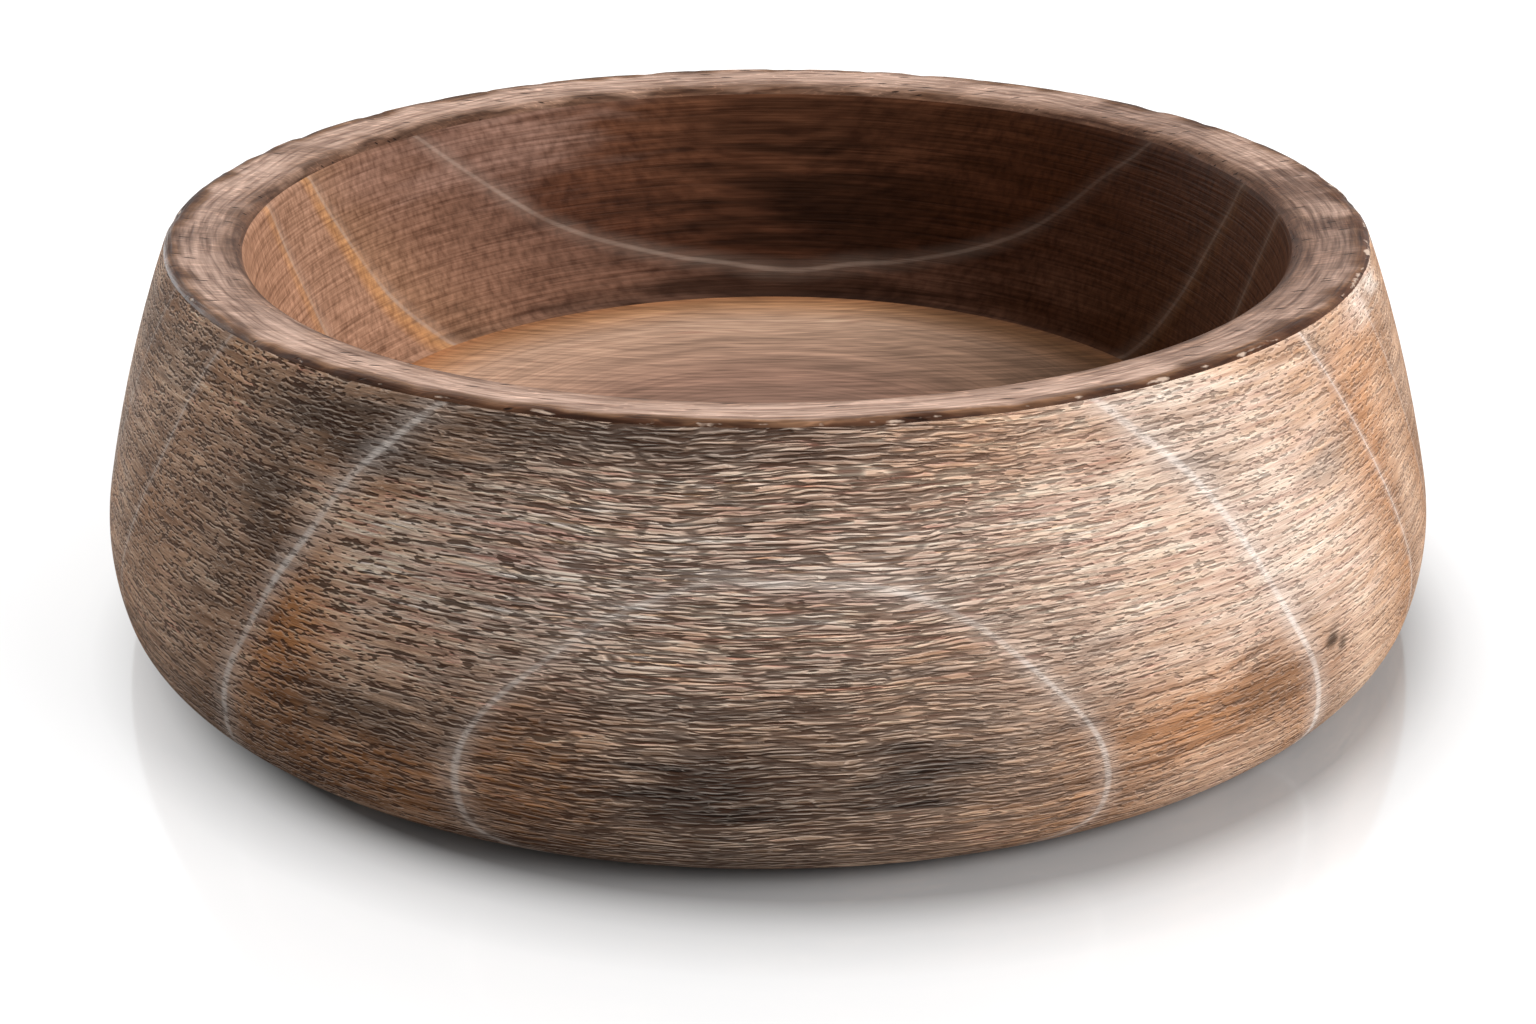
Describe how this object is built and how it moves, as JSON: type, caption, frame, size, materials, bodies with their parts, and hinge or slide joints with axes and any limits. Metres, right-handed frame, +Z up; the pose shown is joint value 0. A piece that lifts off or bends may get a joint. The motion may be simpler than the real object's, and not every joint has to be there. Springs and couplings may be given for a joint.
{
  "type": "dough bowl",
  "caption": "Round wooden dough bowl turned from one block, with a low full belly, a wall that leans in, a smooth crowned rim and a flat dished floor for mixing and kneading.",
  "frame": {"origin": "centre of the base, on the surface the bowl stands on", "axes": "+Z up along the turning axis; -Y is the side that the picture shows, with +X to the viewer's right"},
  "size_m": [0.3399, 0.34, 0.098],
  "materials": {
    "brushed_wood": "stained, weathered and wire-brushed outside; smooth satin rim and inside"
  },
  "bodies": {
    "root": {"bowl": "brushed_wood"}
  },
  "joints": []
}
